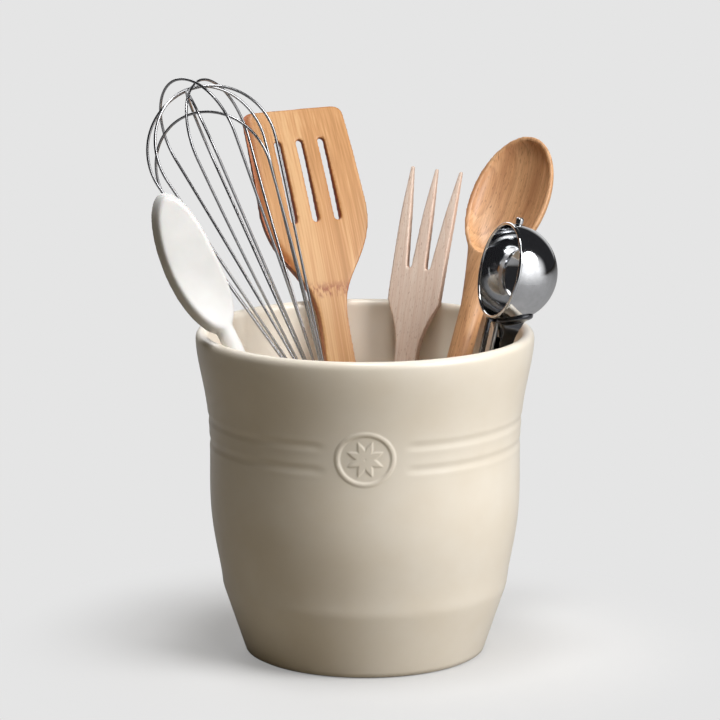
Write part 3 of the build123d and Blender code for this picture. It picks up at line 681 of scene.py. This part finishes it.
def bamboo():
    # Pressed bamboo strips, sanded and oiled: honey coloured, with fine straight fibres and a dark
    # node band. The edges and the left-hand bevel are painted darker brown, in patches, as shade.
    t = turner
    material, tree = newMaterial("oiled bamboo")
    place = addNode(tree, "Attribute", attribute_name="place").outputs["Vector"]
    fibres = streaks(tree, place, (t["fibre"], t["fibreLength"]), 3.0)
    strips = streaks(tree, place, (t["strip"], t["stripLength"]), 1.0, 7.0)
    both = addNode(tree, "Math", {0: fibres, 1: strips}, operation="ADD")
    half = addNode(tree, "Math", {0: both, 1: 0.5}, operation="MULTIPLY")
    tone = addNode(tree, "ValToRGB", {0: half}, stops=[
        (0.36, linear(t["dark"])), (0.5, linear(t["middle"])), (0.62, linear(t["pale"]))])
    height = addNode(tree, "SeparateXYZ", {0: place}).outputs["Z"]
    ragged = streaks(tree, place, t["nodeGrain"], 3.0, 3.0)
    shifted = addNode(tree, "Math", {0: ragged, 1: t["nodeRagged"], 2: height},
                      operation="MULTIPLY_ADD")
    away = addNode(tree, "Math", {0: shifted, 1: t["nodeHeight"] + t["nodeRagged"] / 2},
                   operation="SUBTRACT")
    off = addNode(tree, "Math", {0: away}, operation="ABSOLUTE")
    band = addNode(tree, "MapRange", {"Value": off, 1: t["nodeBand"], 2: 0.0, 3: 0.0,
                                      4: t["nodeShare"]}, interpolation_type="SMOOTHSTEP")
    specks = addNode(tree, "MapRange", {"Value": ragged, 1: 0.42, 2: 0.6})
    marks = addNode(tree, "Math", {0: band, 1: specks}, operation="MULTIPLY")
    tone = addNode(tree, "Mix", {0: marks, 6: tone, 7: linear(t["nodeTone"])},
                   data_type="RGBA").outputs[2]
    # painted shade: the edges, where the surface turns from the face, and the bevel are darkened
    # brown
    edge = addNode(tree, "Attribute", attribute_name="edge").outputs["Fac"]
    patches = streaks(tree, place, t["edgeShadePatch"], 2.0, 5.0)
    uneven = addNode(tree, "Math", {0: patches, 1: 0.55, 2: 0.62}, operation="MULTIPLY_ADD")
    paintedEdgeShade = addNode(tree, "Math", {0: edge, 1: uneven}, operation="MULTIPLY")
    tone = addNode(tree, "Mix", {0: paintedEdgeShade, 6: tone, 7: linear(t["edgeShadeTone"])},
                   data_type="RGBA").outputs[2]
    bump = addNode(tree, "Bump", {"Height": fibres, "Strength": 0.25, "Distance": mm(0.12)})
    wood = addNode(tree, "BsdfPrincipled", {
        "Base Color": tone, "Normal": bump, "Roughness": 0.46, "IOR": 1.5, "Coat Weight": 0.15,
        "Coat Roughness": 0.3})
    addNode(tree, "OutputMaterial", {"Surface": wood})
    return material


def ringedWood(name, w, gloss):
    # Beech turned or sawn from the log: growth rings round a far-off heart, fine fibres and short
    # dark flecks. The gloss says how it was sanded and oiled.
    material, tree = newMaterial(name)
    place = addNode(tree, "Attribute", attribute_name="place").outputs["Vector"]
    across, along = beech["drift"]
    slow = addNode(tree, "Mapping", {"Vector": place, "Scale": (1 / across, 1 / across, 1 / along)})
    drift = addNode(tree, "TexNoise", {"Vector": slow, "Scale": 1.0, "Detail": 1.0})
    moved = addNode(tree, "VectorMath", {0: place, 1: w["heart"]}, operation="SUBTRACT")
    plan = addNode(tree, "VectorMath", {0: moved, 1: (1, 1, w["taper"])}, operation="MULTIPLY")
    reach = addNode(tree, "VectorMath", {0: plan}, operation="LENGTH").outputs["Value"]
    warped = addNode(tree, "Math", {0: drift, 1: w["wander"], 2: reach},
                     operation="MULTIPLY_ADD")
    year = addNode(tree, "Math", {0: warped, 1: 1 / w["ring"]}, operation="MULTIPLY")
    within = addNode(tree, "Math", {0: year}, operation="FRACT")
    pale, middle, dark = (linear(w[shade]) for shade in ("pale", "middle", "dark"))
    rings = addNode(tree, "ValToRGB", {0: within}, stops=[
        (0.0, pale), (0.72, middle), (0.9, dark), (1.0, pale)])
    fibres = streaks(tree, place, beech["fibre"])
    lines = addNode(tree, "ValToRGB", {0: fibres}, stops=[(0.35, dark), (0.65, pale)])
    tone = addNode(tree, "Mix", {0: 0.5, 6: rings.outputs[0], 7: lines.outputs[0]},
                   data_type="RGBA").outputs[2]
    clouds = streaks(tree, place, beech["patch"], 2.0, 11.0)
    patches = addNode(tree, "MapRange", {"Value": clouds, 1: 0.45, 2: 0.75, 3: 0.0,
                                         4: w["patchShare"]})
    tone = addNode(tree, "Mix", {0: patches, 6: tone, 7: linear(w["patch"])},
                   data_type="RGBA").outputs[2]
    grains = streaks(tree, place, (beech["fleckWidth"], w["fleckLength"]), 1.0, 21.0)
    flecks = addNode(tree, "MapRange", {"Value": grains, 1: 0.62, 2: 0.72, 3: 0.0,
                                        4: beech["fleckShare"]})
    tone = addNode(tree, "Mix", {0: flecks, 6: tone, 7: linear(w["fleck"])},
                   data_type="RGBA").outputs[2]
    # the edge colour: on the fork painted shade on the tines' side faces, on the oiled spoon a
    # faint warm tint
    edge = addNode(tree, "Attribute", attribute_name="edge").outputs["Fac"]
    edgeTint = addNode(tree, "Math", {0: edge, 1: w["edgeShare"]}, operation="MULTIPLY")
    tone = addNode(tree, "Mix", {0: edgeTint, 6: tone, 7: linear(w["edge"])},
                   data_type="RGBA").outputs[2]
    bump = addNode(tree, "Bump", {"Height": fibres, "Strength": 0.2, "Distance": mm(0.1)})
    wood = addNode(tree, "BsdfPrincipled", {"Base Color": tone, "Normal": bump, "IOR": 1.5,
                                            **gloss})
    addNode(tree, "OutputMaterial", {"Surface": wood})
    return material


def sideBevel(points):
    # 1 at the turner's left-hand edge, falling to 0 over the bevel's width, in the blade only
    x, y, z = points.T
    step = np.clip((z - z.min()).astype(int), 0, None)
    reach = np.zeros(step.max() + 1)
    np.maximum.at(reach, step, -x)
    inBlade = smoothStep(z, turner["bevelStart"], turner["bevelStart"] + turner["bevelFade"])
    return (1 - smoothStep(reach[step] + x, 0, turner["bevelWidth"])) * inBlade


def makeTurner():
    place = utensilPlace("turner_lift", "slotted_turner")
    piece = softened("turner_bamboo", "slotted_turner", turner["voxel"], turner["rounding"])
    keepPlace(piece, place)
    points = ownPoints(piece, place)
    keepEdge(piece, place, turner["edgeTurned"], turner["edgePasses"])
    bevel = sideBevel(points)
    # the bevel is pushed back and also painted darker, as shade, through the edge colour
    kept = piece.data.attributes["edge"].data
    edge = np.zeros(len(points))
    kept.foreach_get("value", edge)
    kept.foreach_set("value", np.maximum(edge, bevel))
    facing = readVectors(piece.data.vertices, "normal") @ np.array(place)[:3, 1]
    points[:, 1] += turner["bevelDepth"] * bevel ** 2 * np.clip(-facing, 0, 1)
    setOwnPoints(piece, place, points)
    finishPiece(piece, bamboo(), "turner", "bamboo", "slotted_turner")


def pointTines(piece, place):
    # each tine narrows towards its tip, which keeps a share of its width
    points = ownPoints(piece, place)
    x, y, z = points.T
    start = z.max() - fork["tipLength"]
    ends = x[z > z.max() - fork["tipEnd"]]
    apart = (ends.max() - ends.min()) / fork["tines"]
    tine = np.clip(((x - ends.min()) / apart).astype(int), 0, fork["tines"] - 1)
    for index in range(fork["tines"]):
        own = (z > start) & (tine == index)
        share = ((z[own] - start) / fork["tipLength"]) ** 2
        narrow = 1 - (1 - fork["tipShare"]) * share
        for values in (x, y):
            middle = np.polyval(np.polyfit(z[own], values[own], 1), z[own])
            values[own] = middle + (values[own] - middle) * narrow
    setOwnPoints(piece, place, np.stack([x, y, z], 1))


def makeFork():
    place = utensilPlace("fork_lift", "serving_fork")
    piece = softened("fork_beech", "serving_fork", fork["voxel"], fork["rounding"])
    pointTines(piece, place)
    keepPlace(piece, place)
    keepEdge(piece, place, fork["edgeTurned"], fork["edgePasses"])
    wood = ringedWood("sanded pale beech", fork, {"Roughness": 0.62})
    finishPiece(piece, wood, "fork", "pale_beech", "serving_fork")


def makeWoodenSpoon():
    w = woodenSpoon
    place = utensilPlace("wooden_spoon_lift", "wooden_spoon")
    piece = softened("spoon_oiled", "wooden_spoon", w["voxel"], w["rounding"])
    keepPlace(piece, place)
    keepEdge(piece, place, w["edgeTurned"], w["edgePasses"])
    oiled = {"Roughness": 0.42, "Coat Weight": 0.2, "Coat Roughness": 0.35}
    wood = ringedWood("oiled beech", w, oiled)
    finishPiece(piece, wood, "wooden_spoon", "oiled_beech", "wooden_spoon")


makeTurner()
makeFork()
makeWoodenSpoon()
print("the turner, fork and wooden spoon are cut, sanded and oiled")


# The white spoon

whiteSpoon = {
    "voxel": 0.5,
    "rounding": 36,
    "headStart": 150.0,            # height on the spoon where the head begins
    "headFull": 208.0,
    "headTurn": -26.0,             # degrees by which the head is twisted on its handle
    "headShift": (-3.6, 1.6),
    "headRise": 4.0,
    "headNarrow": 0.77,            # its width as a share of the solid's
    "dark": "#E6E6E5",
    "pale": "#EFEFEE",
    "unevenness": 14.0,            # size of the moulding's faint clouds and waves
}


def moulding():
    # White melamine, pressed in a mould and a little worn: bright and smooth, with a soft sheen.
    w = whiteSpoon
    material, tree = newMaterial("moulded white melamine")
    place = addNode(tree, "Attribute", attribute_name="place").outputs["Vector"]
    clouds = addNode(tree, "TexNoise", {"Vector": place, "Scale": 1 / w["unevenness"],
                                        "Detail": 2.0})
    tone = addNode(tree, "ValToRGB", {0: clouds}, stops=[
        (0.3, linear(w["dark"])), (0.7, linear(w["pale"]))])
    bump = addNode(tree, "Bump", {"Height": clouds, "Strength": 0.1, "Distance": mm(0.4)})
    melamine = addNode(tree, "BsdfPrincipled", {
        "Base Color": tone, "Normal": bump, "Roughness": 0.45, "IOR": 1.5, "Coat Weight": 0.12,
        "Coat Roughness": 0.3, "Subsurface Weight": 0.05, "Subsurface Scale": mm(1.5)})
    addNode(tree, "OutputMaterial", {"Surface": melamine})
    return material


def makeWhiteSpoon():
    w = whiteSpoon
    place = utensilPlace("white_spoon_lift", "white_spoon")
    piece = softened("spoon_white", "white_spoon", w["voxel"], w["rounding"])
    x, y, z = ownPoints(piece, place).T
    share = smoothStep(z, w["headStart"], w["headFull"])
    x = x * (1 + (w["headNarrow"] - 1) * share)
    turn = math.radians(w["headTurn"]) * share
    aside, deep = w["headShift"]
    turnedX = x * np.cos(turn) - y * np.sin(turn) + aside * share
    turnedY = x * np.sin(turn) + y * np.cos(turn) + deep * share
    raised = z + w["headRise"] * smoothStep(z, w["headStart"], z.max())
    setOwnPoints(piece, place, np.stack([turnedX, turnedY, raised], 1))
    keepPlace(piece, place)
    finishPiece(piece, moulding(), "white_spoon", "white_melamine", "white_spoon")


makeWhiteSpoon()
print("the white spoon is moulded")


# Metal

metals = {
    # colour, roughness and the size of the polishing marks, which are drawn coarse enough to show
    "chromed steel": ("#C9CACC", 0.07, 3.0),               # a bright sharp mirror
    "black nickel plating": ("#5B5C60", 0.12, 3.0),        # a dark mirror
    "polished stainless wire": ("#A6A6A8", 0.24, 2.0),     # bright, its reflections a little soft
    "satin stainless tube": ("#B4B4B4", 0.3, 1.5),         # a grey sheen
    "brushed spring steel": ("#DADADA", 0.38, 1.0),        # pale and nearly matt
}
finishes = {
    # the pieces that keep their solids
    "whisk_hanging_eye": "polished stainless wire",
    "whisk_handle": "satin stainless tube",
    "whisk_plug": "satin stainless tube",
    "disher_lever": "black nickel plating",
    "disher_lever_pin": "chromed steel",
    "disher_pinion": "satin stainless tube",
    "disher_nub": "chromed steel",
    "disher_bowl": "chromed steel",
    "disher_scraper": "brushed spring steel",
}


def polishedMetal(name, colour, roughness, markSize):
    # Steel finished on a wheel, plated or bare: a mirror, with fine marks that break it up.
    material, tree = newMaterial(name)
    place = addNode(tree, "TexCoord").outputs["Object"]
    marks = addNode(tree, "TexNoise", {"Vector": place, "Scale": 1 / mm(markSize), "Detail": 5.0})
    brighter = [min(1, part * 1.12) for part in linear(colour)]
    tone = addNode(tree, "ValToRGB", {0: marks}, stops=[(0.35, linear(colour)), (0.65, brighter)])
    bump = addNode(tree, "Bump", {"Height": marks, "Strength": 0.03, "Distance": mm(0.05)})
    steel = addNode(tree, "BsdfPrincipled", {"Base Color": tone, "Normal": bump, "Metallic": 1.0,
                                             "Roughness": roughness})
    addNode(tree, "OutputMaterial", {"Surface": steel})
    return material


polished = {name: polishedMetal(name, *look) for name, look in metals.items()}
for node, finish in finishes.items():
    slots = frame["nodes"][node].data.materials
    slots.clear()
    slots.append(polished[finish])
print("the metal pieces are polished")


# The whisk's wires

whisk = {
    "wireRadius": 0.7,
    "bevelSteps": 3,
    "ringRadius": 4.3,             # of the ring in which the wires leave the handle
    "straight": 6.0,
    "straightShare": 0.3,          # of a loop's extra height, how much is below the flare
    "flareAngle": 12.3,
    "bend": 132.0,
    "topRadius": 32.6,
    "leanRise": 160.0,
    "flareSteps": 14,
    "sideSteps": 9,
    "topSteps": 26,
    # each loop's extra height, lean sideways and out of its plane, and share of the full width
    "loops": ((5.5, 0.0, 0.0, 0.98), (8.0, 0.0, 0.0, 0.97), (17.0, 3.0, -5.0, 0.93),
              (5.0, 0.0, 0.0, 0.98), (22.0, 3.5, 0.8, 0.93), (0.0, 5.0, 0.0, 0.95)),
}


def loopPoints(rise, lean, sway, share):
    # one side of a balloon loop goes up the flare and round the top, and the other mirrors it
    w = whisk
    flare, top = math.radians(w["flareAngle"]), w["topRadius"] * share
    straight = w["straight"] + rise * w["straightShare"]
    points = [(w["ringRadius"], 0.0)]
    for t in np.linspace(0, flare, w["flareSteps"]):
        points.append((w["ringRadius"] + w["bend"] * (1 - math.cos(t)),
                       straight + w["bend"] * math.sin(t)))
    lowSide, lowUp = points[-1]
    run = (top * math.cos(flare) - lowSide) / math.sin(flare)
    side = lowSide + run * math.sin(flare)
    up = lowUp + run * math.cos(flare) + rise * (1 - w["straightShare"])
    points += [(lowSide + (side - lowSide) * t, lowUp + (up - lowUp) * t)
               for t in np.linspace(0.1, 0.9, w["sideSteps"])]
    middleSide, middleUp = side - top * math.cos(flare), up + top * math.sin(flare)
    points += [(middleSide + top * math.cos(t), middleUp + top * math.sin(t))
               for t in np.linspace(-flare, math.pi / 2, w["topSteps"])]
    half = np.array(points)
    path = np.concatenate([half, half[-2::-1] * (-1, 1)])
    high = np.clip(path[:, 1] / w["leanRise"], 0, 2) ** 2
    return np.stack([path[:, 0] + lean * high, sway * high, path[:, 1]], 1)


def makeWire(index, place, start):
    turn = math.pi * index / len(whisk["loops"])
    side, sway, up = loopPoints(*whisk["loops"][index]).T
    x = side * math.cos(turn) - sway * math.sin(turn)
    y = side * math.sin(turn) + sway * math.cos(turn)
    line = bpy.data.curves.new("wire", "CURVE")
    line.dimensions = "3D"
    line.bevel_depth, line.bevel_resolution = mm(whisk["wireRadius"]), whisk["bevelSteps"]
    line.use_fill_caps = True
    spline = line.splines.new("POLY")
    spline.points.add(len(x) - 1)
    for point, spot in zip(spline.points, zip(x, y, up + start)):
        point.co = (*(place @ Vector([mm(v) for v in spot])), 1)
    curve = newObject("curve", line)
    piece = newObject(f"wire_{index + 1}", evaluatedMesh(curve))
    bpy.data.objects.remove(curve)
    wire = polished["polished stainless wire"]
    finishPiece(piece, wire, "whisk", "steel_wire", f"whisk_wire_{index + 1}")


def makeWhisk():
    place = utensilPlace("whisk_lift", "whisk_handle", "whisk_wire_1", broadLength=60.0)
    up = liftAxis("whisk_lift")
    ends = [(verticesOf(node) @ up).min() for node in ("whisk_wire_1", "whisk_handle")]
    for index in range(len(whisk["loops"])):
        makeWire(index, place, (ends[0] - ends[1]) * 1000)


makeWhisk()
print("the whisk is wired")


# The disher's handle, which flares out under the bowl

disher = {
    "voxel": 0.42,
    "rounding": 6,
    "bowlRadius": 23.75,
    "saddle": 1.5,                 # thickness of the metal that lies on the bowl
    "flareLength": 12.0,           # from the bowl down the handle
    "flareSpread": 0.5,            # how much wider the handle is where it meets the bowl
    "flareFront": (-3.7, -3.3),    # the flare begins this far in front of the spindle
}


def bowlPlace():
    # the disher's own coordinates, with the bowl's centre as their origin
    up = liftAxis("disher_lift")
    bowl, spindle = verticesOf("disher_bowl"), verticesOf("disher_pinion").mean(0)
    heights = bowl @ up
    centre = spindle + up * ((heights.max() + heights.min()) / 2 - spindle @ up)
    behind = bowl.mean(0) - centre
    behind = behind - up * (behind @ up)
    behind = behind / np.linalg.norm(behind)
    return placeFrom(np.cross(behind, up), behind, up, centre)


def makeDisherHandle():
    d = disher
    place = bowlPlace()
    piece = softened("disher_handle", "disher_frame", d["voxel"], d["rounding"])
    points = ownPoints(piece, place)
    x, y, z = points.T
    reach = np.linalg.norm(points, axis=1)
    near = 1 - smoothStep(reach, d["bowlRadius"] + d["saddle"], d["bowlRadius"] + d["flareLength"])
    near = near * smoothStep(y, *d["flareFront"]) * (z < 0)
    wide = x * (1 + d["flareSpread"] * near)
    drop = np.sqrt(np.maximum(reach ** 2 - wide ** 2 - y ** 2, 0))
    setOwnPoints(piece, place, np.stack([wide, y, np.where(near > 0, -drop, z)], 1))
    plating = polished["black nickel plating"]
    finishPiece(piece, plating, "disher", "chromed_steel", "disher_frame")


makeDisherHandle()
print("the disher's handle is pressed")
